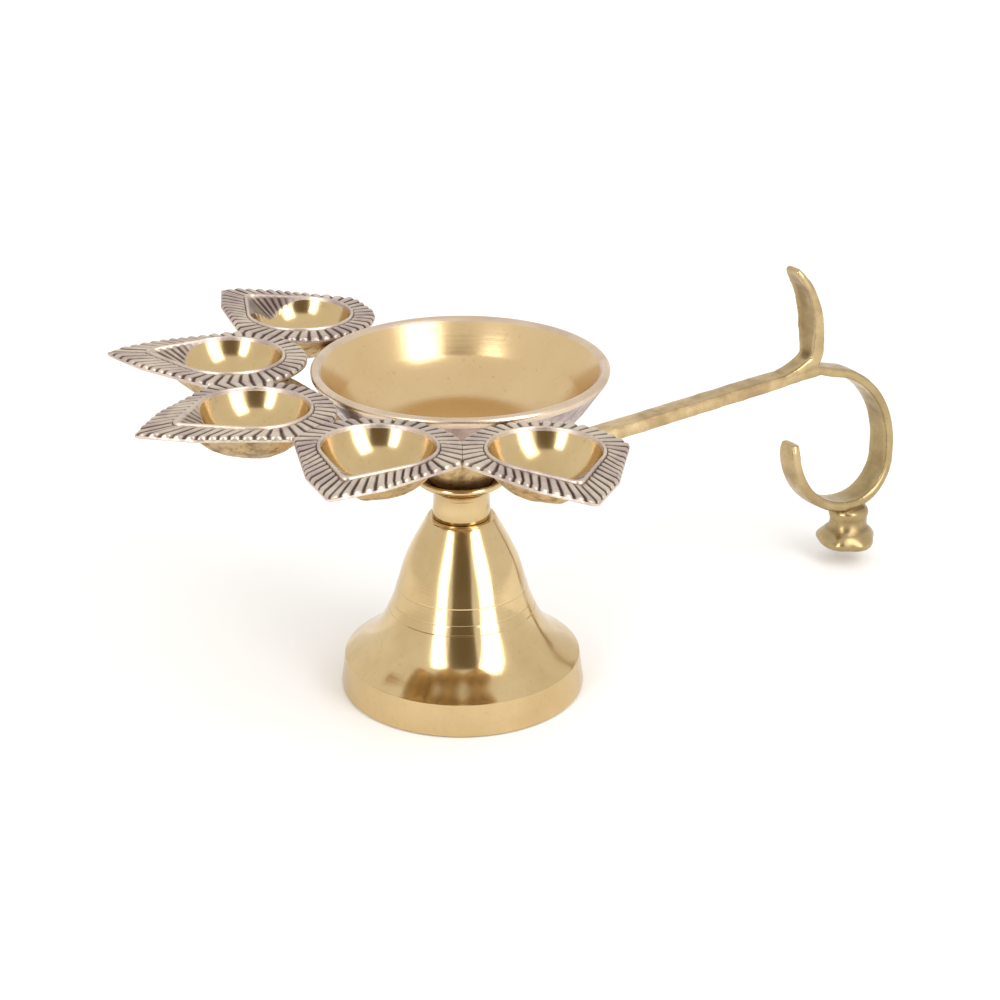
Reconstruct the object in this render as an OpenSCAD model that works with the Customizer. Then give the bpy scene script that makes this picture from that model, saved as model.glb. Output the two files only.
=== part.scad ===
// Five-cup brass aarti lamp: a bell foot and a turned neck carry a cast hub,
// the hub carries a fan of five leaf-shaped oil cups and a long finger handle,
// and a shallow bowl sits in the middle on a threaded stud.
// Millimetres. +Z is up, the origin is the centre of the foot's base,
// the handle runs along +X and the middle cup points along -X.

/* [Bell foot] */
// Radius of the foot ring on the table
foot_r = 29.1; // [26:0.1:34]
// Height of the plain band at the foot
band_h = 7.9; // [5:0.1:9]
// Radius of the bell at its waist
waist_r = 16.8; // [15:0.1:19]
// Height of the waist
waist_z = 21.6; // [18:0.1:25]
// Height of the bell
bell_h = 43.4; // [40:0.1:50]
// Radius of the bell at its top
bell_top_r = 7.9; // [7.5:0.1:9]
// Wall of the bell
bell_wall = 2.2; // [1.6:0.1:3]

/* [Neck collar] */
// Height of the collar
collar_h = 10.6; // [9:0.1:14]
// Radius of the collar where it stands on the bell
collar_r = 6.9; // [6.2:0.1:7.6]
// Radius of the saucer rim
saucer_r = 10.9; // [10:0.1:12]

/* [Hub] */
// Largest radius of the hub
hub_r = 9.9; // [9:0.1:11]
// Height of the hub
hub_h = 13.6; // [12:0.1:16]

/* [Stud] */
// Diameter of the stud, a quarter inch
stud_d = 6.35; // [5:0.05:8]
// Pitch of the thread, twenty to the inch
thread_pitch = 1.27; // [1:0.01:1.5]
// Whole turns that bring the foot off the stud
thread_turns = 8; // [6:1:8]
// Radial clearance of the stud in every hole
stud_gap = 0.06; // [0.03:0.01:0.1]

/* [Bowl] */
// Radius of the bowl at the rim
bowl_r = 34.2; // [30:0.1:36]
// Depth of the bowl outside
bowl_h = 16.6; // [15:0.1:18]
// Wall of the bowl
bowl_wall = 1.8; // [1.4:0.1:2.4]
// Width of the rolled lip
lip_w = 2.3; // [2:0.1:3]

/* [Cups] */
// Angle between neighbouring cups
cup_pitch = 38.2; // [36:0.1:39]
// Radius from the bowl's axis to the middle of a cup
cup_reach = 53.2; // [53:0.1:56]
// Radius of the round part of a cup's opening
cup_r = 12.1; // [11:0.1:13.2]
// Depth of a cup
cup_depth = 9.2; // [8:0.1:11]
// Wall of a cup
cup_wall = 1.6; // [1.2:0.1:2]
// Distance from a cup's middle to the point of its opening
spout_reach = 18.5; // [17:0.1:19]
// Radius of the round part of a cup's flange
flange_r = 18.6; // [17:0.1:19]
// Radius from the bowl's axis to the flange's tip
tip_reach = 82; // [80:0.1:86]
// Thickness of the flange
flange_t = 1.6; // [1.4:0.1:2.5]
// Height of the fan's plane on the bowl's axis
fan_z = 80.3; // [80:0.1:83]
// Rise of the fan away from the handle, in degrees
fan_tilt = 1.9; // [0:0.1:3]

/* [Handle] */
// Width of the handle bar
bar_w = 5.4; // [4.5:0.1:7]
// Thickness of the handle bar
bar_t = 3.5; // [3:0.1:4.5]
// Where the bar ends and the finger loop starts
bar_end = 108; // [106:0.1:110]
// Height of the thumb rest's tip
thumb_tip_z = 86.6; // [80:0.1:90]
// Widest part of the thumb rest
thumb_w = 7.6; // [6:0.1:9]
// Width of the finger loop's strap
loop_w = 6.7; // [6:0.1:8]
// Thickness of the finger loop's strap
loop_t = 2.5; // [2:0.1:3]
// Radius of the pad under the loop
pad_r = 7.9; // [7:0.1:9]
// Clear height under the pad
pad_z = 4.5; // [3:0.1:6]

/* [Hidden] */
$fn = 96;
brass = "#c9a15c";
cast_brass = "#9c8253";
old_silver = "#a99c92";
eps = 0.01;

// heights of the stack on the axis
saucer_floor_z = bell_h + 7.4;
hub_top_z = saucer_floor_z + hub_h;
rim_z = hub_top_z + bowl_h;
hole_r = stud_d / 2 + stud_gap;
boss_depth = thread_pitch * thread_turns + 0.3;

// the bell's band leans in a little and meets the skirt at a crisp edge
band_top_r = foot_r - 1.3;
band_points = [[foot_r, 0], [foot_r - 0.1, 0.8], [foot_r - 1, band_h - 0.4]];
flare_sag = -1.4;
shoulder_sag = 1.1;
groove_d = 0.3;
groove_heights = [waist_z - 1.2, waist_z + 0.6, waist_z + 4.3];

// a cup is a spherical dish, centred a little above the fan's plane
dish_r = (cup_r * cup_r + cup_depth * cup_depth) / (2 * cup_depth);
dish_lift = dish_r - cup_depth;
flange_reach = cup_reach + 0.8;
seam_gap = 0.1;

// a straight bar that rises towards the thumb rest
bar_start = 36;
bar_slope = 0.044;
bar_bottom_z = 52.6;

// arcs of the finger loop's outside, as [centre x, centre z, radius]
top_arc = [109.4, 33.1, 24.9];
heel_arc = [121.5, 28.4, 12.8];
hook_arc = [121.5, 37.4, 21.8];
hook_end_z = 38.2;

// circular arc from p to q that bulges by sag to the right of the way there
function arc(p, q, sag, n = 10) =
    let (d = q - p, len = norm(d), along = d / len, out = [along.y, -along.x])
    let (r = (len * len / 4 + sag * sag) / (2 * sag), half = asin(len / (2 * r)))
    let (middle = (p + q) / 2 + out * (sag - r))
    [for (i = [0:n]) let (a = half * (2 * i / n - 1))
        middle + out * r * cos(a) + along * r * sin(a)];

// points of a circle [x, z, r] between two angles
function turn(c, from, to, n = 12) =
    [for (i = [0:n]) let (a = from + (to - from) * i / n)
        [c.x + c.z * cos(a), c.y + c.z * sin(a)]];

// height of the bar's underside
function bar_z(x) = bar_bottom_z + bar_slope * (x - bar_start);

// leaf outline: a round end of radius r at c, and two straight sides to a tip
function leaf(r, c, tip, n = 40) =
    let (start = acos(r / (tip - c)))
    concat([[tip, 0]], [for (i = [0:n]) let (a = start + (360 - 2 * start) * i / n)
        [c + r * cos(a), r * sin(a)]]);

module bell_foot() {
    top = [bell_top_r, bell_h];
    waist = [waist_r, waist_z];
    knee = [band_top_r, band_h];
    inset = [bell_wall, 0];
    crown_z = bell_h - 5.6;
    outer = concat(band_points, arc(knee, waist, flare_sag), arc(waist, top, shoulder_sag));
    inner = concat(arc([bell_top_r + 0.8, crown_z], waist - inset, -shoulder_sag / 2),
                   arc(waist - inset, knee - inset - [0.8, 0], -flare_sag), [[foot_r - bell_wall - 0.6, 0]]);
    color(brass) difference() {
        rotate_extrude() polygon(concat(outer, [[hole_r, bell_h], [hole_r, bell_h - boss_depth],
            [stud_d, bell_h - boss_depth], [stud_d, crown_z]], inner));
        for (z = groove_heights) {
            bell_groove(z);
        }
    }
}

// a fine turned line round the bell at height z
module bell_groove(z) {
    shoulder = arc([waist_r, waist_z], [bell_top_r, bell_h], shoulder_sag, 40);
    flare = arc([band_top_r, band_h], [waist_r, waist_z], flare_sag, 40);
    side = concat(flare, shoulder);
    r = lookup(z, [for (p = side) [p.y, p.x]]);
    rotate_extrude() polygon([[r - groove_d, z], [r + 1, z - 1], [r + 1, z + 1]]);
}

module neck_collar() {
    neck_top = [collar_r - 0.3, bell_h + 5.6];
    rim = [saucer_r, bell_h + collar_h - 0.8];
    floor_r = hub_r - 3.3;
    color(brass) rotate_extrude() polygon(concat(
        [[hole_r, bell_h], [collar_r - 0.5, bell_h], [collar_r, bell_h + 0.5]],
        arc(neck_top, rim, -0.9, 8),
        [[saucer_r, bell_h + collar_h], [saucer_r - 1, bell_h + collar_h]],
        arc([saucer_r - 1.2, bell_h + collar_h - 0.4], [floor_r, saucer_floor_z], 0.3, 6),
        [[hole_r, saucer_floor_z]]));
}

module hub() {
    belly_z = saucer_floor_z + 8.2;
    color(cast_brass) rotate_extrude() polygon(concat(
        [[hole_r, saucer_floor_z]],
        arc([hub_r - 4, saucer_floor_z], [hub_r, belly_z], 0.6, 8),
        [[hub_r, hub_top_z - 0.8], [hub_r - 0.8, hub_top_z], [hole_r, hub_top_z]]));
}

// places a cup or an arm, number 1 to 5, in the tilted fan
module in_fan(i) {
    translate([0, 0, fan_z]) rotate([0, fan_tilt, 0]) rotate([0, 0, 180 + (i - 3) * cup_pitch])
        children();
}

// a spherical dish of radius r with a conical spout that ends in a point
module dish(r) {
    toward = [spout_reach, -dish_lift];
    spread = 44;
    apex = norm(toward) * r / dish_r;
    slant = apex * cos(spread);
    translate([cup_reach, 0, dish_lift]) {
        sphere(r = r);
        rotate([0, 90 + atan2(dish_lift, spout_reach), 0])
            translate([0, 0, apex - slant * cos(spread)])
                cylinder(h = slant * cos(spread), r1 = slant * sin(spread), r2 = 0);
    }
}

// one oil cup: a ribbed leaf flange round a deep pointed dish
module lamp_cup(i) {
    edge = 0.7;
    half = cup_pitch / 2 - atan(seam_gap / 2 / flange_reach);
    shoulder_x = flange_reach + 0.2;
    shoulder_y = shoulder_x * tan(half);
    flank_end = tip_reach + 5.8;
    bead_w = 1.1;
    bead_h = 0.5;
    color(old_silver) in_fan(i) difference() {
        union() {
            intersection() {
                union() {
                    translate([0, 0, -flange_t]) linear_extrude(flange_t - edge)
                        polygon(leaf(flange_r, flange_reach, tip_reach));
                    translate([0, 0, -edge - eps]) linear_extrude(edge + eps)
                        polygon(leaf(flange_r - edge, flange_reach, tip_reach - 1.5 * edge));
                }
                translate([0, 0, -flange_t - 1]) linear_extrude(flange_t + 2)
                    polygon([[0, 0], [shoulder_x, shoulder_y], [flank_end, 0], [shoulder_x, -shoulder_y]]);
            }
            translate([0, 0, -eps]) linear_extrude(bead_h + eps)
                polygon(leaf(cup_r + bead_w, cup_reach, cup_reach + spout_reach + 1.5 * bead_w));
            intersection() {
                dish(dish_r + cup_wall);
                translate([cup_reach - 40, -40, -30]) cube([80, 80, 30 - flange_t / 2]);
            }
        }
        intersection() {
            dish(dish_r);
            translate([cup_reach - 40, -40, -30]) cube([80, 80, 32]);
        }
    }
}

// one cast arm from the hub, under the bowl, to the flank of a cup
module cup_arm(i) {
    arm_w = 6.2;
    arm_t = 3.2;
    root_x = 6;
    root_z = hub_top_z - 0.9 - fan_z;
    end = [43.5, -3.4];
    color(cast_brass) difference() {
        in_fan(i) difference() {
            translate([0, arm_w / 2, 0]) rotate([90, 0, 0]) linear_extrude(arm_w)
                polygon(concat(
                    arc([root_x, root_z - arm_t], end + [2, -arm_t], 4),
                    arc(end, [root_x, root_z], -4)));
            translate([cup_reach, 0, dish_lift]) sphere(r = dish_r + cup_wall);
        }
        translate([0, 0, saucer_floor_z]) cylinder(h = hub_h + 10, r = hub_r);
    }
}

// a plate in the XZ plane, centred on y = 0
module side_plate(width, points) {
    translate([0, width / 2, 0]) rotate([90, 0, 0]) linear_extrude(width) polygon(points);
}

module handle_bar() {
    root = [6, saucer_floor_z + 5];
    lift = [0, bar_t];
    start = [bar_start, bar_bottom_z];
    end = [bar_end, bar_z(bar_end)];
    color(cast_brass) difference() {
        side_plate(bar_w, concat(arc(root, start, 0.8), [end, end + lift], arc(start + lift, root + lift, -0.8)));
        translate([0, 0, saucer_floor_z]) cylinder(h = hub_h, r = hub_r);
    }
}

module thumb_rest() {
    toe = [bar_end - 12.5, bar_z(bar_end - 12.5) + bar_t];
    heel = [bar_end, bar_z(bar_end) + bar_t];
    tip = [bar_end - 9.8, thumb_tip_z];
    bend = [bar_end - 4.6, heel.y + 6];
    half = thumb_w / 2;
    tall = thumb_tip_z - heel.y;
    color(cast_brass) intersection() {
        side_plate(2 * thumb_w, concat([heel], arc(heel, tip, 2.8), arc(tip - [0.9, 1], bend, -1.6),
            arc(bend, toe, -1.6, 6)));
        translate([toe.x - 5, 0, heel.y - 2]) rotate([90, 0, 90]) linear_extrude(30)
            polygon(concat(arc([bar_w / 2, 0], [1.3, tall + 1.4], half - 2),
                           arc([-1.3, tall + 1.4], [-bar_w / 2, 0], half - 2)));
    }
}

// the loop's outline, shrunk by inset, from the bar round to the free end
function loop_path(inset) =
    let (from = acos((bar_end - top_arc.x) / (top_arc.z - inset)), shrink = [0, 0, -inset])
    concat(turn(top_arc + shrink, from, 0),
           turn(heel_arc + shrink, 0, -90),
           turn(hook_arc + shrink, -96, -180),
           [[hook_arc.x - hook_arc.z + inset, hook_end_z]]);

module finger_loop() {
    color(cast_brass) side_plate(loop_w, concat(loop_path(0), reverse(loop_path(loop_t))));
}

module loop_pad() {
    neck_r = 4.2;
    edge_h = 2.4;
    color(cast_brass) difference() {
        translate([heel_arc.x + 0.6, 0, 0]) rotate_extrude() polygon(concat(
            [[0, pad_z], [pad_r - 0.8, pad_z], [pad_r, pad_z + 0.8], [pad_r, pad_z + edge_h]],
            arc([pad_r - 0.8, pad_z + edge_h + 0.8], [neck_r, pad_z + 7.6], -0.8, 6),
            [[neck_r, pad_z + 13], [0, pad_z + 13]]));
        side_plate(4 * pad_r, loop_path(0));
    }
}

module bowl() {
    wall_foot = [bowl_r - 4.9, hub_top_z + 8.1];
    seat = [hub_r, hub_top_z];
    lip_bottom = [bowl_r - 0.6, rim_z - 2.2];
    floor_z = hub_top_z + bowl_wall + 0.1;
    color(brass) rotate_extrude() polygon(concat(
        [[0, hub_top_z]],
        arc(seat, wall_foot, 2.6),
        [lip_bottom, [bowl_r, rim_z - 1.5], [bowl_r, rim_z - 0.5], [bowl_r - 0.5, rim_z],
         [bowl_r - 1.1, rim_z], [bowl_r - lip_w, rim_z - 0.9]],
        arc(wall_foot + [-1.7, 0.6], [hub_r, floor_z], -2.7),
        [[0, floor_z]]));
}

module bowl_stud() {
    length = hub_top_z - bell_h + boss_depth - 0.3;
    color(brass) translate([0, 0, hub_top_z - length]) {
        cylinder(h = length, d = stud_d);
    }
}

// a list of points in the opposite order
function reverse(list) = [for (i = [len(list) - 1:-1:0]) list[i]];

bell_foot();
neck_collar();
hub();
cup_arm(1);  // cup_arm_1
cup_arm(2);  // cup_arm_2
cup_arm(3);  // cup_arm_3
cup_arm(4);  // cup_arm_4
cup_arm(5);  // cup_arm_5
lamp_cup(1);  // lamp_cup_1
lamp_cup(2);  // lamp_cup_2
lamp_cup(3);  // lamp_cup_3
lamp_cup(4);  // lamp_cup_4
lamp_cup(5);  // lamp_cup_5
handle_bar();
thumb_rest();
finger_loop();
loop_pad();
bowl();
bowl_stud();
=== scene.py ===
import math

import bmesh
import bpy
from mathutils import Matrix, Vector, noise


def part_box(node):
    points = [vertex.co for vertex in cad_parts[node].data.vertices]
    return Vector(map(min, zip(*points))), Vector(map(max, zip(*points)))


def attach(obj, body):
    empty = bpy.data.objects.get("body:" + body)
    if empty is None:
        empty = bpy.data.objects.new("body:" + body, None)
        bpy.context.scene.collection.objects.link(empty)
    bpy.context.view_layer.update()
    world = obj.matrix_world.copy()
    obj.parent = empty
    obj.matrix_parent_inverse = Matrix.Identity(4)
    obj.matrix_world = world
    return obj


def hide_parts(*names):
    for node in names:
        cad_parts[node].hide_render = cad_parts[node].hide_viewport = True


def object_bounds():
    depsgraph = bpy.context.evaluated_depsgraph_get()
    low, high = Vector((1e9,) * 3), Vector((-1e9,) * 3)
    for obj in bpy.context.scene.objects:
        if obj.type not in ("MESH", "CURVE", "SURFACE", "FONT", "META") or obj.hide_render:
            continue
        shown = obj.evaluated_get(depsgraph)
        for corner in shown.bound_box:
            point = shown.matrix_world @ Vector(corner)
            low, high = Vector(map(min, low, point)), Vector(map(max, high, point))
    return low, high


mm = 0.001  # every length below is in millimetres and is turned into metres once
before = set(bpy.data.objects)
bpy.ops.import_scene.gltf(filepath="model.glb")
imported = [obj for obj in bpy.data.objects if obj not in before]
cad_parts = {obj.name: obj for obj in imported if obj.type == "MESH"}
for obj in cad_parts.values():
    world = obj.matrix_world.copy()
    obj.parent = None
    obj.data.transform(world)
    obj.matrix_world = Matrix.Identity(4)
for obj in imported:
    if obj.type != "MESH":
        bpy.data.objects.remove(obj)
cadLow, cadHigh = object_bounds()
print("frame loaded:", len(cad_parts), "nodes")


# small helpers shared by the pieces

def deselectAll():
    if bpy.context.mode != "OBJECT":
        bpy.ops.object.mode_set(mode="OBJECT")
    bpy.ops.object.select_all(action="DESELECT")


def pickOnly(piece):
    deselectAll()
    piece.select_set(True)
    bpy.context.view_layer.objects.active = piece


def boxOf(node):
    low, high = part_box(node)
    return low / mm, high / mm


def arcPoints(start, end, sag, count=12):
    # round stretch from start to end that bulges by sag to the right of the way there
    start, end = Vector(start), Vector(end)
    chord = end - start
    length = chord.length
    along = chord / length
    side = Vector((along.y, -along.x))
    radius = (length * length / 4 + sag * sag) / (2 * sag)
    half = math.asin(length / (2 * radius))
    centre = (start + end) / 2 + side * (sag - radius)
    angles = [half * (2 * i / count - 1) for i in range(count + 1)]
    return [centre + side * radius * math.cos(a) + along * radius * math.sin(a) for a in angles]


def smoothLine(points, count=8):
    # soft curve through every point, count steps between neighbours
    points = [Vector(p) for p in points]
    ends = [points[0] * 2 - points[1]] + points + [points[-1] * 2 - points[-2]]
    line = []
    for before, here, there, after in zip(ends, ends[1:], ends[2:], ends[3:]):
        for i in range(count):
            t = i / count
            line.append(0.5 * (2 * here + (there - before) * t
                               + (2 * before - 5 * here + 4 * there - after) * t * t
                               + (3 * here - before - 3 * there + after) * t * t * t))
    return line + [points[-1]]


def spinPiece(name, profile, steps=160):
    # the profile is drawn point by point with extrude, then spun round the upright axis
    deselectAll()
    bpy.ops.mesh.primitive_plane_add(size=mm)
    piece = bpy.context.active_object
    piece.name = name
    bpy.ops.object.mode_set(mode="EDIT")
    bpy.ops.mesh.select_all(action="SELECT")
    bpy.ops.mesh.merge(type="CENTER")
    bpy.ops.transform.translate(value=(profile[0][0] * mm, 0, profile[0][1] * mm))
    for here, there in zip(profile, profile[1:]):
        step = ((there[0] - here[0]) * mm, 0, (there[1] - here[1]) * mm)
        bpy.ops.mesh.extrude_region_move(TRANSFORM_OT_translate={"value": step})
    bpy.ops.mesh.select_all(action="SELECT")
    bpy.ops.mesh.spin(steps=steps, angle=math.tau, center=(0, 0, 0), axis=(0, 0, 1))
    bpy.ops.mesh.select_all(action="SELECT")
    bpy.ops.mesh.remove_doubles(threshold=0.003 * mm)
    bpy.ops.mesh.normals_make_consistent(inside=False)
    bpy.ops.object.mode_set(mode="OBJECT")
    return piece


def smoothFaces(piece, angleDeg=40):
    pickOnly(piece)
    bpy.ops.object.shade_smooth_by_angle(angle=math.radians(angleDeg), keep_sharp_edges=False)


def applyModifier(piece, kind, **values):
    pickOnly(piece)
    modifier = piece.modifiers.new(kind.title(), kind)
    for key, value in values.items():
        setattr(modifier, key, value)
    bpy.ops.object.modifier_apply(modifier=modifier.name)


def castSkin(piece, amount, grain):
    # uneven skin of sand casting: every point moves a little along its normal
    mesh = piece.data
    moves = []
    for v in mesh.vertices:
        spot = v.co / mm / grain
        lump = noise.noise(spot) + 0.5 * noise.noise(spot * 2.3)
        moves.append(v.normal * lump * amount * mm)
    for v, move in zip(mesh.vertices, moves):
        v.co += move
    mesh.update()


def finishPiece(piece, body, slot, nodes, *materials):
    piece.data.materials.clear()
    for material in materials:
        piece.data.materials.append(material)
    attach(piece, body)
    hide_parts(*nodes)
    print("made", piece.name, "with", len(piece.data.polygons), "faces")


# materials

def newMaterial(name):
    material = bpy.data.materials.new(name)
    material.use_nodes = True
    tree = material.node_tree
    tree.nodes.clear()
    return material, tree


def addNode(tree, kind, inputs=None, **values):
    node = tree.nodes.new("ShaderNode" + kind)
    for key, value in values.items():
        setattr(node, key, value)
    for key, value in (inputs or {}).items():
        if isinstance(value, bpy.types.NodeSocket):
            tree.links.new(value, node.inputs[key])
        else:
            node.inputs[key].default_value = value
    return node


def rgba(colour):
    return (colour[0], colour[1], colour[2], 1.0)


def noiseField(tree, vector, scale, detail=3.0, rough=0.55):
    return addNode(tree, "TexNoise", {"Vector": vector, "Scale": scale, "Detail": detail,
                                      "Roughness": rough}).outputs["Fac"]


def spread(tree, value, low, high, newLow, newHigh):
    return addNode(tree, "MapRange", {"Value": value, "From Min": low, "From Max": high,
                                      "To Min": newLow, "To Max": newHigh}).outputs["Result"]


def blendColours(tree, amount, first, second, blend="MIX"):
    mix = addNode(tree, "Mix", data_type="RGBA", blend_type=blend)
    for key, value in ((0, amount), (6, first), (7, second)):
        if isinstance(value, bpy.types.NodeSocket):
            tree.links.new(value, mix.inputs[key])
        else:
            mix.inputs[key].default_value = value
    return mix.outputs[2]


def turnedSpot(tree, place):
    # (distance from the turning axis, height) of a surface point: constant along each tool line
    parts = addNode(tree, "SeparateXYZ", {"Vector": place})
    flat = addNode(tree, "CombineXYZ", {"X": parts.outputs["X"], "Y": parts.outputs["Y"]})
    radius = addNode(tree, "VectorMath", {0: flat.outputs[0]}, operation="LENGTH").outputs["Value"]
    return addNode(tree, "CombineXYZ", {"X": radius, "Y": parts.outputs["Z"]}).outputs[0]


brassLooks = {
    "polishedBrass": {
        "gold": (0.655, 0.495, 0.265), "deep": (0.51, 0.36, 0.17), "shine": (0.10, 0.20),
        "lines": 0.000006, "lineScale": 1500, "patch": 55, "wear": 0.35},
    "bowlBrass": {
        "gold": (0.69, 0.51, 0.28), "deep": (0.62, 0.44, 0.22), "shine": (0.17, 0.26),
        "lines": 0.000016, "lineScale": 1300, "patch": 45, "wear": 0.3},
    "lipBrass": {
        "gold": (0.70, 0.565, 0.425), "deep": (0.56, 0.43, 0.32), "shine": (0.22, 0.34),
        "lines": 0.000006, "lineScale": 1500, "patch": 120, "wear": 0.4},
}


def turnedBrass(name, look, placeName=None):
    # polished brass with fine tool lines, cloudy tarnish and small scratches
    material, tree = newMaterial(name)
    if placeName:
        place = addNode(tree, "Attribute", attribute_name=placeName).outputs["Vector"]
    else:
        place = addNode(tree, "TexCoord").outputs["Object"]
    clouds = noiseField(tree, place, look["patch"], 4, 0.6)
    specks = noiseField(tree, place, look["patch"] * 14, 3, 0.7)
    rings = noiseField(tree, turnedSpot(tree, place), look["lineScale"], 2, 0.6)
    wornGold = blendColours(tree, spread(tree, clouds, 0.35, 0.7, 0, look["wear"] * 2),
                            rgba(look["gold"]), rgba(look["deep"]))
    colour = blendColours(tree, spread(tree, specks, 0.6, 0.78, 0, 0.35), wornGold,
                          rgba([c * 0.55 for c in look["deep"]]))
    shine = spread(tree, clouds, 0.3, 0.7, look["shine"][0], look["shine"][1])
    height = addNode(tree, "Math", {0: rings, 1: spread(tree, specks, 0.3, 0.7, 0, 0.15)},
                     operation="ADD").outputs[0]
    bump = addNode(tree, "Bump", {"Height": height, "Strength": 1.0, "Distance": look["lines"]})
    shader = addNode(tree, "BsdfPrincipled", {
        "Base Color": colour, "Metallic": 1.0, "Roughness": shine, "Normal": bump.outputs[0]})
    addNode(tree, "OutputMaterial", {"Surface": shader.outputs[0]})
    return material


castLooks = {
    "antiqueRibs": {
        "crest": (0.66, 0.57, 0.47), "hollow": (0.12, 0.082, 0.065), "tint": (0.53, 0.43, 0.40),
        "shine": (0.30, 0.46), "grain": 0.00005, "grainScale": 900, "recess": "recess",
        "cloud": 0.16},
    "roughCast": {
        "crest": (0.56, 0.40, 0.20), "hollow": (0.20, 0.12, 0.05), "tint": (0.42, 0.31, 0.18),
        "shine": (0.34, 0.55), "grain": 0.00012, "grainScale": 420, "recess": None, "stain": 0.75},
    "handleBrass": {
        "crest": (0.63, 0.475, 0.265), "hollow": (0.18, 0.115, 0.05), "tint": (0.53, 0.385, 0.205),
        # the handle's hollow map darkens hollows with oxide and painted shade
        "shine": (0.19, 0.33), "grain": 0.00006, "grainScale": 300, "recess": "hollowOxideAndShade",
        "far": (0.42, 0.32, 0.16), "cloud": 0.40},
    "saucerOxide": {
        "crest": (0.44, 0.25, 0.09), "hollow": (0.24, 0.13, 0.045), "tint": (0.36, 0.20, 0.075),
        "shine": (0.50, 0.70), "grain": 0.00008, "grainScale": 420, "recess": None, "stain": 0.8,
        "metal": 0.55},
    "bowlPatina": {
        "crest": (0.47, 0.39, 0.35), "hollow": (0.16, 0.11, 0.09), "tint": (0.36, 0.28, 0.28),
        "shine": (0.26, 0.42), "grain": 0.00003, "grainScale": 260, "recess": None, "stain": 0.35},
}


def castBrass(name, look):
    # cast brass: bright where hands and polish reach, dark oxide in the hollows (on the handle also painted shade),
    # pitted skin
    material, tree = newMaterial(name)
    place = addNode(tree, "TexCoord").outputs["Object"]
    clouds = noiseField(tree, place, 130, 4, 0.6)
    pits = noiseField(tree, place, look["grainScale"], 4, 0.65)
    if look["recess"]:
        depth = addNode(tree, "Attribute", attribute_name=look["recess"]).outputs["Fac"]
        dirtAndShade = addNode(tree, "Math", {0: depth, 1: spread(tree, clouds, 0.3, 0.7, -0.12, look["cloud"])},
                       operation="ADD", use_clamp=True).outputs[0]
    else:
        dirtAndShade = spread(tree, pits, 0.46, 0.68, 0, look["stain"])
    metal = blendColours(tree, spread(tree, clouds, 0.4, 0.65, 0, 1),
                         rgba(look["crest"]), rgba(look["tint"]))
    if "far" in look:
        # colour turns darker and more olive towards the loop end
        along = addNode(tree, "SeparateXYZ", {"Vector": place}).outputs["X"]
        metal = blendColours(tree, spread(tree, along, 0.08, 0.118, 0, 0.85), metal, rgba(look["far"]))
    # hollows darken: stains and oxide, and on the handle also painted shade
    colour = blendColours(tree, dirtAndShade, metal, rgba(look["hollow"]))
    shine = addNode(tree, "Math", {0: spread(tree, pits, 0.3, 0.7, look["shine"][0], look["shine"][1]),
                                   1: spread(tree, dirtAndShade, 0, 1, 0, 0.25)}, operation="ADD").outputs[0]
    bump = addNode(tree, "Bump", {"Height": pits, "Strength": 1.0, "Distance": look["grain"]})
    shader = addNode(tree, "BsdfPrincipled", {
        "Base Color": colour, "Metallic": look.get("metal", 1.0), "Roughness": shine,
        "Normal": bump.outputs[0]})
    addNode(tree, "OutputMaterial", {"Surface": shader.outputs[0]})
    return material


polishedBrass = turnedBrass("polishedBrass", brassLooks["polishedBrass"])
bowlBrass = turnedBrass("bowlBrass", brassLooks["bowlBrass"])
dishBrass = turnedBrass("dishBrass", brassLooks["polishedBrass"], "cupPlace")
antiqueRibs = castBrass("antiqueRibs", castLooks["antiqueRibs"])
roughCast = castBrass("roughCast", castLooks["roughCast"])
handleBrass = castBrass("handleBrass", castLooks["handleBrass"])
lipBrass = turnedBrass("lipBrass", brassLooks["lipBrass"])
bowlPatina = castBrass("bowlPatina", castLooks["bowlPatina"])
saucerOxide = castBrass("saucerOxide", castLooks["saucerOxide"])
print("materials ready")


# bell foot, turned from one casting

bellHigh = boxOf("bell_foot")[1]
bellSettings = {
    "bandTop": 7.9,        # height of the plain band
    "bandLean": 1.0,       # how far the band leans in
    "knee": (1.15, 8.0),   # inset and height where the skirt starts
    "skirt": (8.0, 13.6),  # inset and height half way up the skirt
    "waist": (12.3, 21.6),
    "shoulder": (15.8, 32.9),
    "nearTop": (20.2, 41.8),
    "topRadius": 7.9,
    "wall": 2.2,
    "bossRadius": 6.35,
    "holeRadius": 3.24,
    "bossHeight": 10.5,
    "crownDrop": 5.6,
    "grooves": ((20.3, 0.10), (22.3, 0.08), (25.9, 0.03)),  # height and depth
}


def bellFoot(s):
    foot = bellHigh.x
    top = bellHigh.z
    inset = lambda pair: (foot - pair[0], pair[1])
    band = [(foot - 0.5, 0), (foot - 0.1, 0.3), (foot - 0.05, 1.0),
            (foot - s["bandLean"] * 0.55, s["bandTop"] * 0.6), (foot - s["bandLean"], s["bandTop"])]
    side = smoothLine([inset(s["knee"]), inset(s["skirt"]), inset(s["waist"]), inset(s["shoulder"]),
                       inset(s["nearTop"]), (s["topRadius"], top)], 24)
    side = cutGrooves(side, s["grooves"])
    hole = [(s["holeRadius"], top), (s["holeRadius"], top - s["bossHeight"]),
            (s["bossRadius"], top - s["bossHeight"]), (s["bossRadius"], top - s["crownDrop"])]
    inside = smoothLine([(s["topRadius"] + 0.8, top - s["crownDrop"]),
                         (inset(s["shoulder"])[0] - s["wall"], s["shoulder"][1] - 1),
                         (inset(s["waist"])[0] - s["wall"], s["waist"][1]),
                         (inset(s["skirt"])[0] - s["wall"], s["skirt"][1] - 0.6),
                         (foot - s["wall"] - 1.6, 4.2), (foot - s["wall"] - 0.6, 0)], 10)
    profile = band + side + hole + inside + [(foot - 0.5, 0)]
    piece = spinPiece("bellFoot", profile, 192)
    smoothFaces(piece, 26)
    finishPiece(piece, "foot", "polished_brass", ["bell_foot"], polishedBrass)


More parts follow.
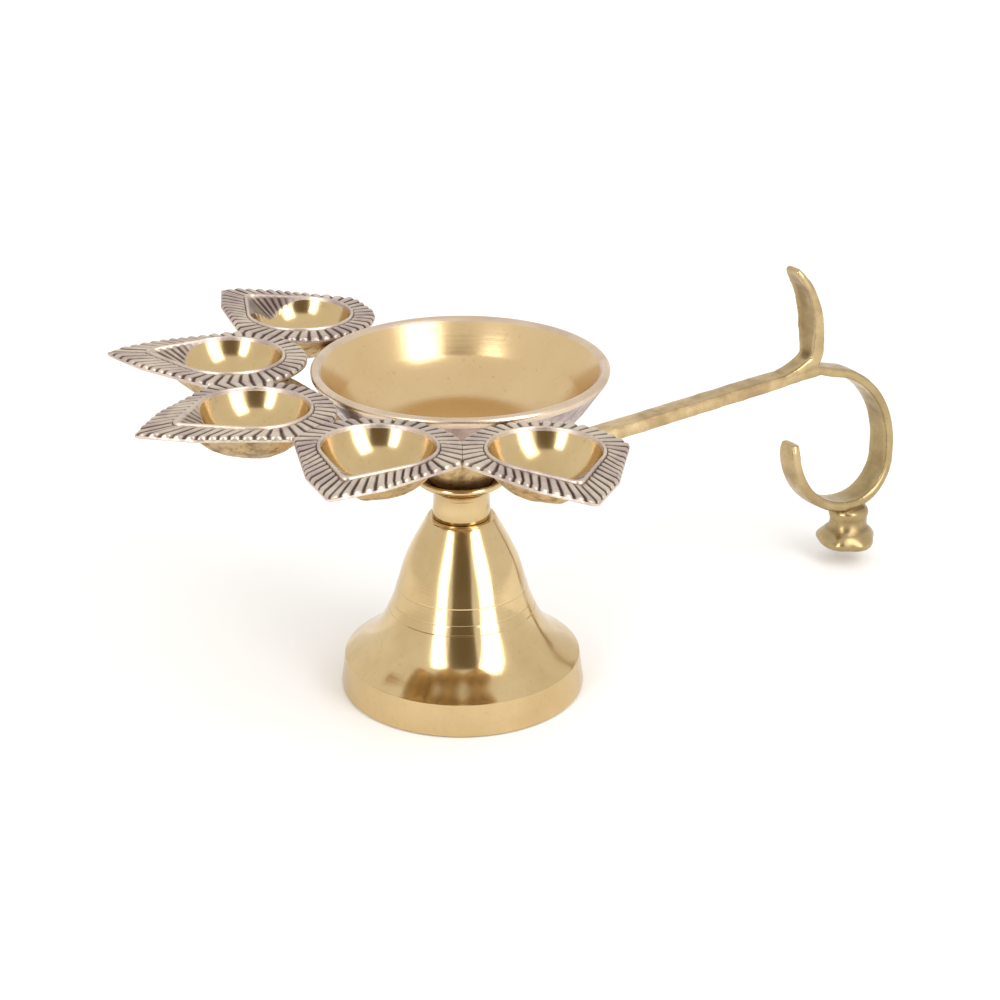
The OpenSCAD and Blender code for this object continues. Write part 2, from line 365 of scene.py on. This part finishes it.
def cutGrooves(side, grooves):
    # a shallow V is let into the line at each height
    line = []
    for here, there in zip(side, side[1:]):
        line.append(here)
        for z, depth in sorted(g for g in grooves if here.y <= g[0] < there.y):
            way = (there - here).normalized()
            out = Vector((way.y, -way.x))
            spot = here + (there - here) * (z - here.y) / (there.y - here.y)
            line += [spot - way * 0.28, spot - way * 0.1 - out * depth,
                     spot + way * 0.1 - out * depth, spot + way * 0.28]
    return line + [side[-1]]


bellFoot(bellSettings)


# neck collar with its saucer

collarLow, collarHigh = boxOf("neck_collar")
collarSettings = {
    "footRadius": 6.9,
    "neckDrop": 0.3,     # how much the ferrule tapers
    "neckHeight": 5.6,
    "rimHeight": 1.1,
    "floorHeight": 7.4,
    "floorRadius": 6.6,
    "holeRadius": 3.24,
}


def neckCollar(s):
    low, high = collarLow.z, collarHigh.z
    rim = collarHigh.x
    neck = s["footRadius"] - s["neckDrop"]
    outside = [(s["holeRadius"], low), (s["footRadius"] - 0.45, low), (s["footRadius"] - 0.12, low + 0.12),
               (s["footRadius"], low + 0.45), (neck + 0.1, low + s["neckHeight"] * 0.6)]
    flare = smoothLine([(neck, low + s["neckHeight"]), (neck + 0.9, low + s["neckHeight"] + 1.9),
                        (rim - 1.1, high - 1.9), (rim - 0.15, high - s["rimHeight"])], 10)
    lip = smoothLine([(rim, high - 0.6), (rim - 0.25, high - 0.1), (rim - 0.8, high),
                      (rim - 1.3, high - 0.35)], 4)
    floor = arcPoints((rim - 1.7, high - 0.9), (s["floorRadius"], low + s["floorHeight"]), 0.4, 8)
    profile = outside + flare + lip + [tuple(p) for p in floor]
    profile += [(s["holeRadius"], low + s["floorHeight"]), (s["holeRadius"], low)]
    piece = spinPiece("neckCollar", profile, 128)
    smoothFaces(piece, 40)
    finishPiece(piece, "collar", "polished_brass", ["neck_collar"], polishedBrass, saucerOxide)
    for face in piece.data.polygons:
        centre = face.center / mm
        if face.normal.z > 0.2 and math.hypot(centre.x, centre.y) < rim - 1.5:
            face.material_index = 1


neckCollar(collarSettings)


# central bowl

bowlLow, bowlHigh = boxOf("bowl")
bowlSettings = {
    "seatRadius": 9.9,
    "wallFoot": (4.9, 8.1),   # inset and height where the wall meets the floor
    "wall": 1.8,
    "lipWidth": 2.4,
    "lipDepth": 2.2,
    "floorHeight": 1.9,
    "floorRadius": 13.7,      # the flat middle
    "floorSag": 1.81,         # runs level into the flat middle
}


def centralBowl(s):
    rim, low, high = bowlHigh.x, bowlLow.z, bowlHigh.z
    foot = (rim - s["wallFoot"][0], low + s["wallFoot"][1])
    under = arcPoints((s["seatRadius"], low), foot, 2.6, 20)
    lip = smoothLine([(rim - 0.5, high - s["lipDepth"]), (rim - 0.02, high - 1.35), (rim - 0.1, high - 0.6),
                      (rim - 0.75, high - 0.05), (rim - 1.6, high - 0.12), (rim - s["lipWidth"], high - 0.85)], 6)
    innerFoot = (foot[0] - 1.5, foot[1] + 0.7)
    floor = arcPoints(innerFoot, (s["floorRadius"], low + s["floorHeight"]), -s["floorSag"], 24)
    profile = [(0, low), (s["seatRadius"] - 0.4, low)] + [tuple(p) for p in under]
    profile += lip + [tuple(p) for p in floor]
    profile += [(r, low + s["floorHeight"]) for r in (10, 5, 2, 0)]
    piece = spinPiece("centralBowl", profile, 192)
    smoothFaces(piece, 40)
    finishPiece(piece, "bowl", "polished_brass", ["bowl"], bowlBrass, lipBrass, bowlPatina)
    for face in piece.data.polygons:
        centre = face.center / mm
        away = math.hypot(centre.x, centre.y)
        if away > rim - s["lipWidth"] - 0.1 and centre.z > high - s["lipDepth"]:
            face.material_index = 1
        elif face.normal.z < -0.05:
            face.material_index = 2


centralBowl(bowlSettings)


# hub that carries the arms and the handle

hubLow, hubHigh = boxOf("hub")
hubSettings = {"waist": 6.3, "belly": 8.2, "holeRadius": 3.24, "skin": 0.22, "grain": 2.1}


def castHub(s):
    low, high, wide = hubLow.z, hubHigh.z, hubHigh.x
    side = smoothLine([(s["waist"], low), (s["waist"] + 1.4, low + 2.6), (wide - 0.5, low + 5.6),
                       (wide, low + s["belly"]), (wide, high - 1.6), (wide - 0.7, high)], 8)
    profile = [(s["holeRadius"], low)] + side + [(s["holeRadius"], high)]
    profile += [(s["holeRadius"], high - (high - low) * i / 8) for i in range(1, 9)]
    piece = spinPiece("castHub", profile, 120)
    castSkin(piece, s["skin"], s["grain"])
    smoothFaces(piece, 50)
    finishPiece(piece, "head", "cast_brass", ["hub"], roughCast)


castHub(hubSettings)


# the fan of five cups; a cup is modelled along +X and then turned into its place

fanSettings = {"pitchDeg": 38.2, "tiltDeg": 1.9, "height": 80.3, "count": 5}


def fanPlace(number):
    s = fanSettings
    turn = math.radians(180 + (number - (s["count"] + 1) / 2) * s["pitchDeg"])
    return (Matrix.Translation((0, 0, s["height"] * mm))
            @ Matrix.Rotation(math.radians(s["tiltDeg"]), 4, "Y") @ Matrix.Rotation(turn, 4, "Z"))


cupSettings = {
    "middle": 53.2,        # from the bowl's axis to the middle of the dish
    "opening": 12.1,       # radius of the round part of the opening
    "spout": 19.2,         # from the middle to the point of the opening
    "spoutSoft": 0.03,     # share of the outline that rounds the spout's point
    "tipSoft": 0.01,
    "depth": 9.2,
    "wall": 1.6,
    "flangeMiddle": 54.0,
    "flangeRadius": 18.6,
    "flangeTip": 82.0,
    "flankEnd": 87.8,      # where the two flat flanks would meet
    "flankSlope": 0.559,
    "flangeThick": 1.6,
    "bellyReach": 16.6,    # how far the belly runs out under the spout
    "lipHeight": 0.7,      # plain lower part of the flange's edge
    "ribs": 46,
    "stepsPerRib": 9,
    "ribHeight": 0.55,
    "straight": 0.17,      # share of the outline that each straight side takes
    "bead": 0.75,
    "beadHeight": 0.45,
    "groove": 0.4,
    "seamGap": 0.05,
}


def leafPoint(t, middle, radius, reach, straight, soft=0.0):
    # a point of the leaf outline at t: straight side from the tip, round end, straight side back
    if t > 0.5:
        x, y = leafPoint(1 - t, middle, radius, reach, straight, soft)
        return x, -y
    if t < soft:
        x, y = leafPoint(soft, middle, radius, reach, straight)
        share = 0.5 + 0.5 * t / soft
        side = (1 - share) ** 2 + share ** 2
        return x * side + (middle + reach) * (1 - side), y * (share ** 2 - (1 - share) ** 2)
    start = math.acos(radius / reach)
    if t < straight:
        touch = (radius * math.cos(start), radius * math.sin(start))
        share = t / straight
        return middle + reach + (touch[0] - reach) * share, touch[1] * share
    angle = start + (math.pi - start) * (t - straight) / (0.5 - straight)
    return middle + radius * math.cos(angle), radius * math.sin(angle)


def cupStations(s):
    # (kind, place along the kind, height, rib share), from the belly's bottom to the dish's
    thick, bead, groove = s["flangeThick"], s["bead"], s["groove"]
    rows = [("belly", i / 14, 0, 0) for i in range(15)]
    rows += [("under", i / 4, -thick, 0) for i in range(1, 4)]
    rows += [("edge", 0.25, -thick, 0), ("edge", 0.0, -thick + 0.2, 0), ("edge", 0.0, -thick + s["lipHeight"], 0),
             ("edge", 0.12, -thick + s["lipHeight"] + 0.06, 0.35)]
    for i in range(6):
        turn = math.radians(90 * i / 5)
        drop = (thick - s["lipHeight"] - 0.4) * (1 - math.sin(turn))
        rows.append(("edge", 0.2 + 0.8 * (1 - math.cos(turn)), -0.3 - drop, 1))
    rows += [("top", 0.15 + 0.85 * i / 7, -0.3 + 0.16 * i / 7, 1) for i in range(1, 7)]
    rows += [("top", 0.99, -0.2, 0.55), ("bead", bead + 0.1, -groove, 0)]
    for i in range(7):
        turn = math.radians(180 * i / 6)
        rows.append(("bead", bead * (0.5 + 0.5 * math.cos(turn)), s["beadHeight"] * math.sin(turn), 0))
    rows += [("spout", i / 7, 0, 1) for i in range(1, 8)]
    rows += [("dish", i / 16, 0, 0) for i in range(1, 17)]
    return rows


def ribShape(t, s):
    # round cords with narrow gaps between them, fading out at the very tip
    phase = t * s["ribs"]
    number = math.floor(phase)
    swell = 1 + 0.16 * noise.noise(Vector((number * 3.7, 1.3, 0)))
    wave = abs(math.sin(math.pi * phase))
    crest = wave ** 0.95 * swell
    tip = min(1.0, min(t, 1 - t) * s["ribs"] / 1.2)
    return crest * tip, wave


def trimFlank(spot, inset, s):
    # the flange's sides run flat from the seam's corner towards the tip
    limit = max(0.0, (s["flankEnd"] - spot.x) * s["flankSlope"] - inset * 1.15)
    if spot.x > s["flangeMiddle"]:
        spot.y = max(-limit, min(limit, spot.y))
    return spot


def cupPoint(t, row, s, lean):
    kind, share, height, ribs = row
    dishRadius = (s["opening"] ** 2 + s["depth"] ** 2) / (2 * s["depth"])
    lift = dishRadius - s["depth"]
    crest, rawCrest = ribShape(t, s)
    middle = Vector((s["middle"], 0))
    inner = Vector(leafPoint(t, s["middle"], s["opening"], s["spout"], s["straight"], s["spoutSoft"]))
    reach = s["flangeTip"] - s["flangeMiddle"]
    recess = 0.0
    if kind in ("belly", "under"):
        bellyWide = math.sqrt((dishRadius + s["wall"]) ** 2 - (lift + s["flangeThick"]) ** 2)
        joint = Vector(leafPoint(t, s["middle"], bellyWide, s["bellyReach"], s["straight"], s["spoutSoft"]))
        if kind == "belly":
            spot = middle + (joint - middle) * share
            z = lift - math.sqrt((dishRadius + s["wall"]) ** 2 - (bellyWide * share) ** 2)
            lump = noise.noise(Vector((spot.x, spot.y, z)) / 2.2 + Vector((lean * 9, 0, 0)))
            z += 0.18 * lump * min(1, 3 * (1 - share))
        else:
            outer = Vector(leafPoint(t, s["flangeMiddle"], s["flangeRadius"], reach, s["straight"], s["tipSoft"]))
            outer = trimFlank(outer, 0, s)
            spot, z = joint + (outer - joint) * share, height
    elif kind in ("edge", "top"):
        inset = share if kind == "edge" else 1.0
        small = (s["flangeRadius"] - inset + 0.22 * ribs * (crest - 0.6)) / s["flangeRadius"]
        outer = Vector(leafPoint(t, s["flangeMiddle"], s["flangeRadius"] * small, reach * small,
                                 s["straight"], s["tipSoft"]))
        outer = trimFlank(outer, inset - 0.22 * ribs * (crest - 0.6), s)
        if kind == "edge":
            spot = outer
        else:
            grow = (s["opening"] + s["bead"] + 0.15) / s["opening"]
            ring = Vector(leafPoint(t, s["middle"], s["opening"] * grow, s["spout"] * grow,
                                    s["straight"], s["spoutSoft"]))
            spot = outer + (ring - outer) * (share - 0.15) / 0.85
        z = height + ribs * s["ribHeight"] * (crest - 0.55)
        recess = ribs * max(0.0, min(1.0, (0.68 - rawCrest) / 0.36))
    elif kind == "bead":
        grow = (s["opening"] + share) / s["opening"]
        spot = Vector(leafPoint(t, s["middle"], s["opening"] * grow, s["spout"] * grow,
                                s["straight"], s["spoutSoft"]))
        z = height
        recess = 0.95 if share > s["bead"] else 0.0
    else:
        away = (inner - middle).length
        turnedRadius = s["opening"] - 0.15 - 0.3 * (away - s["opening"])
        rim = middle + (inner - middle) * turnedRadius / away
        rimDepth = lift - math.sqrt(dishRadius ** 2 - turnedRadius ** 2)
        if kind == "spout":
            pointed = min(1.0, (away - s["opening"]) / 1.6)
            spot = inner + (rim - inner) * share
            z = rimDepth * share + pointed * 0.45 * (crest - 0.6) * math.sin(math.pi * min(1, share * 1.1)) ** 0.5
            recess = pointed * (0.4 + 0.6 * max(0.0, min(1.0, (0.80 - rawCrest) / 0.4))) * (1 if share < 1 else 0.4)
        else:
            spot = middle + (rim - middle) * (1 - share)
            z = lift - math.sqrt(dishRadius ** 2 - (turnedRadius * (1 - share)) ** 2)
    if kind in ("under", "edge", "top"):
        limit = spot.x * math.tan(math.radians(fanSettings["pitchDeg"] / 2)) - s["seamGap"]
        spot.y = max(-limit, min(limit, spot.y))
    return Vector((spot.x, spot.y, z)), recess


def lampCup(number, s):
    rows = cupStations(s)
    columns = s["ribs"] * s["stepsPerRib"]
    deselectAll()
    bpy.ops.mesh.primitive_grid_add(x_subdivisions=columns, y_subdivisions=len(rows) - 1, size=1)
    piece = bpy.context.active_object
    piece.name = f"lampCup_{number}"
    mesh = piece.data
    recess = mesh.attributes.new("recess", "FLOAT", "POINT")
    place = mesh.attributes.new("cupPlace", "FLOAT_VECTOR", "POINT")
    for v in mesh.vertices:
        t = v.co.x + 0.5
        row = rows[round((v.co.y + 0.5) * (len(rows) - 1))]
        spot, dark = cupPoint(t % 1.0, row, s, number)
        recess.data[v.index].value = dark
        place.data[v.index].vector = (spot - Vector((s["middle"], 0, 0))) * mm
        v.co = spot * mm
    dishFaces = {i for i, row in enumerate(rows) if row[0] == "dish"}
    bellyFaces = {i for i, row in enumerate(rows) if row[0] in ("belly", "under")}
    for face in mesh.polygons:
        ring = face.index // columns
        face.material_index = 1 if ring + 1 in dishFaces else 2 if ring in bellyFaces else 0
    mesh.transform(fanPlace(number))
    pickOnly(piece)
    bpy.ops.object.mode_set(mode="EDIT")
    bpy.ops.mesh.select_all(action="SELECT")
    bpy.ops.mesh.remove_doubles(threshold=0.002 * mm)
    bpy.ops.mesh.normals_make_consistent(inside=False)
    bpy.ops.object.mode_set(mode="OBJECT")
    smoothFaces(piece, 48)
    kept = [face.material_index for face in mesh.polygons]
    finishPiece(piece, "head", "antiqued_brass", [f"lamp_cup_{number}"], antiqueRibs, dishBrass, roughCast)
    for face, index in zip(mesh.polygons, kept):
        face.material_index = index


for cupNumber in range(1, fanSettings["count"] + 1):
    lampCup(cupNumber, cupSettings)


# straps: a bar is cut into steps, shaped and laid along a spine in the XZ plane

def spineOf(points):
    # points and running distances along a line of points
    lengths = [0.0]
    for here, there in zip(points, points[1:]):
        lengths.append(lengths[-1] + (there - here).length)
    return points, lengths


def spineAt(spine, distance):
    points, lengths = spine
    for i in range(len(points) - 1):
        if distance <= lengths[i + 1] or i == len(points) - 2:
            step = points[i + 1] - points[i]
            share = (distance - lengths[i]) / (lengths[i + 1] - lengths[i])
            tangent = step.normalized()
            return points[i] + step * share, tangent


def levelAt(levels, share):
    # value between the listed (share, value) pairs, eased
    for (a, first), (b, second) in zip(levels, levels[1:]):
        if share <= b:
            t = (share - a) / (b - a)
            t = t * t * (3 - 2 * t)
            return first + (second - first) * t
    return levels[-1][1]


def cutAcross(piece, axis, cuts):
    # cuts every edge that runs the whole way along one axis
    bpy.ops.mesh.select_mode(type="EDGE")
    bpy.ops.mesh.select_all(action="DESELECT")
    mesh = bmesh.from_edit_mesh(piece.data)
    for edge in mesh.edges:
        a, b = (v.co for v in edge.verts)
        if abs(a[axis] - b[axis]) > 0.9:
            edge.select_set(True)
    bmesh.update_edit_mesh(piece.data)
    bpy.ops.mesh.subdivide(number_cuts=cuts)
    bpy.ops.mesh.select_mode(type="VERT")


def strapPiece(name, points, widths, thicks, hollow=None, corner=0.35):
    # hollow is the depth of the dip in the face that looks along the spine's left side
    spine = spineOf([Vector(p) for p in points])
    total = spine[1][-1]
    deselectAll()
    bpy.ops.mesh.primitive_cube_add(size=1)
    piece = bpy.context.active_object
    piece.name = name
    bpy.ops.object.mode_set(mode="EDIT")
    cutAcross(piece, 0, max(12, round(total / 0.9)))
    cutAcross(piece, 1, 7)
    cutAcross(piece, 2, 5)
    bpy.ops.object.mode_set(mode="OBJECT")
    for v in piece.data.vertices:
        share = v.co.x + 0.5
        wide, thick = levelAt(widths, share), levelAt(thicks, share)
        y, z = v.co.y * 2, v.co.z * 2
        y, z = y * math.sqrt(1 - corner * z * z / 2), z * math.sqrt(1 - corner * y * y / 2)
        dip = levelAt(hollow, share) * (1 - y * y) * (1 + z) / 2 if hollow else 0
        centre, tangent = spineAt(spine, share * total)
        left = Vector((-tangent.y, tangent.x))
        spot = centre + left * (z * thick / 2 - dip)
        v.co = Vector((spot.x, y * wide / 2, spot.y)) * mm
    pickOnly(piece)
    bpy.ops.object.mode_set(mode="EDIT")
    bpy.ops.mesh.select_all(action="SELECT")
    bpy.ops.mesh.normals_make_consistent(inside=False)
    bpy.ops.object.mode_set(mode="OBJECT")
    return piece


def circlePoints(centre, radius, start, end, count):
    angles = [math.radians(start + (end - start) * i / count) for i in range(count + 1)]
    return [(centre[0] + radius * math.cos(a), centre[1] + radius * math.sin(a)) for a in angles]


# cast arms from the hub to the cups

armSettings = {
    "root": (7.5, -17.5),    # from the axis, below the fan
    "elbow": (24.0, -14.6),
    "end": (43.2, -5.6),
    "widths": [(0, 6.6), (0.5, 6.0), (1, 7.2)],
    "thicks": [(0, 4.0), (0.5, 3.0), (1, 3.4)],
    "skin": 0.16,
    "grain": 2.4,
}


def cupArm(number, s):
    spine = smoothLine([s["root"], s["elbow"], s["end"]], 8)
    piece = strapPiece(f"cupArm_{number}", spine, s["widths"], s["thicks"], corner=0.55)
    castSkin(piece, s["skin"], s["grain"] + 0.1 * number)
    piece.data.transform(fanPlace(number))
    smoothFaces(piece, 60)
    finishPiece(piece, "head", "cast_brass", [f"cup_arm_{number}"], roughCast)


for armNumber in range(1, fanSettings["count"] + 1):
    cupArm(armNumber, armSettings)


# handle, thumb rest, finger loop and pad, all one casting

loopLow = boxOf("finger_loop")[0]
padLow, padHigh = boxOf("loop_pad")
handleSettings = {
    "barStart": (9.0, 57.2),
    "barJoin": (36.0, 54.35),
    "barEnd": (108.0, 57.4),
    "loopTop": [(112.0, 56.0), (118.6, 54.0), (125.2, 49.2), (130.3, 42.3), (132.7, 34.5), (133.0, 28.6)],
    "heelArc": (121.5, 28.4, 11.55),
    "hookArc": (121.5, 37.4, 20.55),
    "widths": [(0, 5.6), (0.08, 5.4), (0.42, 5.4), (0.52, 6.0), (0.66, 7.4),
               (0.82, 7.6), (0.93, 6.5), (0.985, 6.3), (1, 5.0)],
    "thicks": [(0, 4.4), (0.1, 3.6), (0.42, 3.5), (0.5, 2.7), (0.7, 2.5),
               (0.82, 2.8), (0.95, 2.8), (0.985, 2.8), (1, 2.1)],
    "thumbSpine": [(97.0, 57.0), (102.4, 58.4), (106.0, 61.2), (106.0, 66.5), (105.1, 73.0), (102.6, 79.8),
                   (98.7, 85.6)],
    "thumbWidths": [(0, 5.0), (0.2, 5.4), (0.55, 7.6), (0.8, 7.2), (0.94, 6.2), (1, 4.6)],
    "thumbThicks": [(0, 3.4), (0.25, 4.3), (0.6, 3.2), (0.85, 2.4), (1, 1.5)],
    "thumbHollow": [(0, 0), (0.16, 0.1), (0.3, 0.9), (0.75, 1.1), (1, 0.1)],
    "voxel": 0.34,
    "hollowDarkBase": 0.16,        # oxide and painted shade on a flat stretch
    "hollowDarkGain": 17,
    "hollowDarkBlur": 8,
    "skin": 0.08,
    "grain": 5.5,
}


def castHandle(s):
    bar = [s["barStart"], (22, 55.4), s["barJoin"]]
    bar = smoothLine(bar, 8)[:-1] + [Vector(s["barJoin"]), Vector(s["barEnd"])]
    loop = [tuple(p) for p in smoothLine(s["loopTop"], 5)]
    loop += circlePoints(s["heelArc"][:2], s["heelArc"][2], -4, -90, 18)
    loop += circlePoints(s["hookArc"][:2], s["hookArc"][2], -97, -180, 22)
    loop += [(loopLow.x + 1.3, 38.2)]
    spine = bar + [Vector(p) for p in loop]
    strap = strapPiece("castHandle", spine, s["widths"], s["thicks"])
    thumb = strapPiece("thumbRest", smoothLine(s["thumbSpine"], 8), s["thumbWidths"], s["thumbThicks"],
                       s["thumbHollow"], 0.3)
    pad = loopPad()
    deselectAll()
    for piece in (thumb, pad, strap):
        piece.select_set(True)
    bpy.context.view_layer.objects.active = strap
    bpy.ops.object.join()
    applyModifier(strap, "REMESH", mode="VOXEL", voxel_size=s["voxel"] * mm, adaptivity=0)
    applyModifier(strap, "SMOOTH", factor=0.6, iterations=3)
    castSkin(strap, s["skin"], s["grain"])
    # darken the handle's hollows: dark oxide and painted shade
    markHollowOxideAndShade(strap, s)
    smoothFaces(strap, 80)
    finishPiece(strap, "head", "handle_brass", ["handle_bar", "thumb_rest", "finger_loop", "loop_pad"],
                handleBrass)


def loopPad():
    # a short neck and a rounded, slightly lumpy foot pad
    middle = (padLow.x + padHigh.x) / 2
    wide, low = (padHigh.x - padLow.x) / 2, padLow.z
    profile = smoothLine([(0, low), (wide - 1.6, low + 0.1), (wide - 0.3, low + 0.9), (wide - 0.1, low + 2.2),
                          (wide - 1.2, low + 3.8), (wide - 2.6, low + 5.2), (wide - 3.1, low + 7.6),
                          (wide - 2.8, low + 10.6), (0, low + 12.0)], 5)
    pad = spinPiece("loopPad", profile, 48)
    for v in pad.data.vertices:
        lump = 1 + 0.13 * noise.noise(v.co / mm / 5 + Vector((4.2, 0, 0)))
        v.co = Vector((v.co.x * lump + (middle + 0.4) * mm, v.co.y * lump * 0.97, v.co.z))
    return pad


def markHollowOxideAndShade(piece, s):
    # hollows get dark oxide and painted shade, and ridges stay bright: measured from how the skin bends at each
    # point
    mesh = piece.data
    bend = [0.0] * len(mesh.vertices)
    count = [0] * len(mesh.vertices)
    for edge in mesh.edges:
        a, b = edge.vertices
        way = (mesh.vertices[b].co - mesh.vertices[a].co).normalized()
        bend[a] += way.dot(mesh.vertices[a].normal)
        bend[b] -= way.dot(mesh.vertices[b].normal)
        count[a] += 1
        count[b] += 1
    value = [b / max(1, c) for b, c in zip(bend, count)]
    for _ in range(s["hollowDarkBlur"]):
        total = list(value)
        near = [1] * len(value)
        for edge in mesh.edges:
            a, b = edge.vertices
            total[a] += value[b]
            total[b] += value[a]
            near[a] += 1
            near[b] += 1
        value = [t / n for t, n in zip(total, near)]
    # the stored map darkens hollows with oxide and painted shade
    wear = mesh.attributes.new("hollowOxideAndShade", "FLOAT", "POINT")
    for i, v in enumerate(value):
        wear.data[i].value = max(0.0, min(1.0, s["hollowDarkBase"] + v * s["hollowDarkGain"]))


castHandle(handleSettings)


# threaded stud under the bowl

studLow, studHigh = boxOf("bowl_stud")
studSettings = {"pitch": 1.27, "depth": 0.6, "steps": 28}


def threadedStud(s):
    outer = studHigh.x - 0.02
    core = outer - s["depth"]
    turns = math.floor((studHigh.z - studLow.z - 1.6) / s["pitch"])
    deselectAll()
    bpy.ops.mesh.primitive_plane_add(size=mm)
    piece = bpy.context.active_object
    piece.name = "threadedStud"
    bpy.ops.object.mode_set(mode="EDIT")
    bpy.ops.mesh.select_all(action="SELECT")
    bpy.ops.mesh.merge(type="CENTER")
    low = studLow.z + 0.2
    tooth = [(core, low), (core, low + 0.12), (outer, low + 0.5), (outer, low + 0.7),
             (core, low + s["pitch"] - 0.12), (core, low + s["pitch"])]
    bpy.ops.transform.translate(value=(tooth[0][0] * mm, 0, tooth[0][1] * mm))
    for here, there in zip(tooth, tooth[1:]):
        step = ((there[0] - here[0]) * mm, 0, (there[1] - here[1]) * mm)
        bpy.ops.mesh.extrude_region_move(TRANSFORM_OT_translate={"value": step})
    bpy.ops.object.mode_set(mode="OBJECT")
    applyModifier(piece, "SCREW", axis="Z", steps=s["steps"], render_steps=s["steps"],
                  screw_offset=s["pitch"] * mm, iterations=turns, use_merge_vertices=True,
                  merge_threshold=0.002 * mm)
    coreProfile = [(0, studLow.z), (core - 0.5, studLow.z), (core + 0.05, studLow.z + 0.5),
                   (core + 0.05, studHigh.z - 0.05), (0, studHigh.z - 0.05)]
    rod = spinPiece("studCore", coreProfile, 56)
    deselectAll()
    rod.select_set(True)
    piece.select_set(True)
    bpy.context.view_layer.objects.active = piece
    bpy.ops.object.join()
    smoothFaces(piece, 30)
    finishPiece(piece, "bowl", "thread_brass", ["bowl_stud"], polishedBrass)


threadedStud(studSettings)


# floor, light and camera

stageSettings = {
    "floorSize": 6.0,
    "floorColour": (0.93, 0.925, 0.918),
    "floorDrop": 0.0002,
    "skyColour": (1.0, 0.985, 0.96),
    "skyStrength": 1.0,
}


def paleFloor(s):
    deselectAll()
    bpy.ops.mesh.primitive_plane_add(size=s["floorSize"], location=(0, 0, cadLow.z - s["floorDrop"]))
    floor = bpy.context.active_object
    floor.name = "paleFloor"
    material, tree = newMaterial("paleFloor")
    place = addNode(tree, "TexCoord").outputs["Object"]
    tone = blendColours(tree, spread(tree, noiseField(tree, place, 3), 0.3, 0.7, 0, 1),
                        rgba(s["floorColour"]), rgba([c * 0.985 for c in s["floorColour"]]))
    shader = addNode(tree, "BsdfPrincipled", {"Base Color": tone, "Roughness": 0.9})
    addNode(tree, "OutputMaterial", {"Surface": shader.outputs[0]})
    floor.data.materials.append(material)


def softSky(s):
    world = bpy.context.scene.world or bpy.data.worlds.new("studio")
    bpy.context.scene.world = world
    world.use_nodes = True
    tree = world.node_tree
    tree.nodes.clear()
    sky = addNode(tree, "Background", {"Color": rgba(s["skyColour"]), "Strength": s["skyStrength"]})
    addNode(tree, "OutputWorld", {"Surface": sky.outputs[0]})


paleFloor(stageSettings)
softSky(stageSettings)

cameraSettings = {
    "azimuthDeg": -34.0,
    "lookDownDeg": 23.82,
    "distance": 560.0,
    "aimOffset": (-13.3, 2.9, -0.1),  # from the middle of the whole lamp
    "lens": 84.64,
}


def backWay(azimuthDeg, upDeg):
    # unit vector from the lamp towards a viewer at that azimuth and height
    a, e = math.radians(azimuthDeg), math.radians(upDeg)
    return Vector((math.sin(a) * math.cos(e), -math.cos(a) * math.cos(e), math.sin(e)))


def studioCamera(s):
    aim = (cadLow + cadHigh) / 2 + Vector(s["aimOffset"]) * mm
    back = backWay(s["azimuthDeg"], s["lookDownDeg"])
    bpy.ops.object.camera_add(location=aim + back * s["distance"] * mm)
    camera = bpy.context.active_object
    camera.name = "studioCamera"
    camera.rotation_euler = (-back).to_track_quat("-Z", "Y").to_euler()
    camera.data.lens = s["lens"]
    camera.data.sensor_width = 36.0
    camera.data.clip_start = 0.01
    camera.data.dof.use_dof = False
    bpy.context.scene.camera = camera


studioCamera(cameraSettings)

lightSettings = {
    "leftBox": {"turnDeg": -34, "upDeg": 20, "distance": 1.3, "width": 0.36, "height": 1.25, "glow": 5.6},
    "rightBox": {"turnDeg": 43, "upDeg": 26, "distance": 1.3, "width": 0.62, "height": 1.7, "glow": 3.8},
}


def softBox(name, s):
    back = backWay(cameraSettings["azimuthDeg"] + s["turnDeg"], s["upDeg"])
    aim = (cadLow + cadHigh) / 2
    light = bpy.data.lights.new(name, "AREA")
    light.shape = "RECTANGLE"
    light.size, light.size_y = s["width"], s["height"]
    light.energy = s["glow"] * math.pi * s["width"] * s["height"]
    lamp = bpy.data.objects.new(name, light)
    bpy.context.scene.collection.objects.link(lamp)
    lamp.location = aim + back * s["distance"]
    lamp.rotation_euler = (-back).to_track_quat("-Z", "Y").to_euler()
    lamp.visible_camera = False


for lightName, light in lightSettings.items():
    softBox(lightName, light)

cardSettings = {"distance": 1.5, "upDeg": 22, "width": 0.95, "height": 1.6, "colour": (0.20, 0.155, 0.095)}


def darkCard(s):
    # unlit gap between the two soft boxes, seen only in the polished metal
    back = backWay(cameraSettings["azimuthDeg"], s["upDeg"])
    deselectAll()
    bpy.ops.mesh.primitive_plane_add(size=1)
    card = bpy.context.active_object
    card.name = "darkCard"
    card.scale = (s["width"], s["height"], 1)
    card.location = (cadLow + cadHigh) / 2 + back * s["distance"]
    card.rotation_euler = back.to_track_quat("Z", "Y").to_euler()
    material, tree = newMaterial("darkCard")
    shader = addNode(tree, "Emission", {"Color": rgba(s["colour"]), "Strength": 1.0})
    addNode(tree, "OutputMaterial", {"Surface": shader.outputs[0]})
    card.data.materials.append(material)
    card.visible_camera = False
    card.visible_diffuse = False
    card.visible_shadow = False


darkCard(cardSettings)

bpy.context.scene.view_settings.view_transform = "Standard"
print("stage, lights and camera ready")
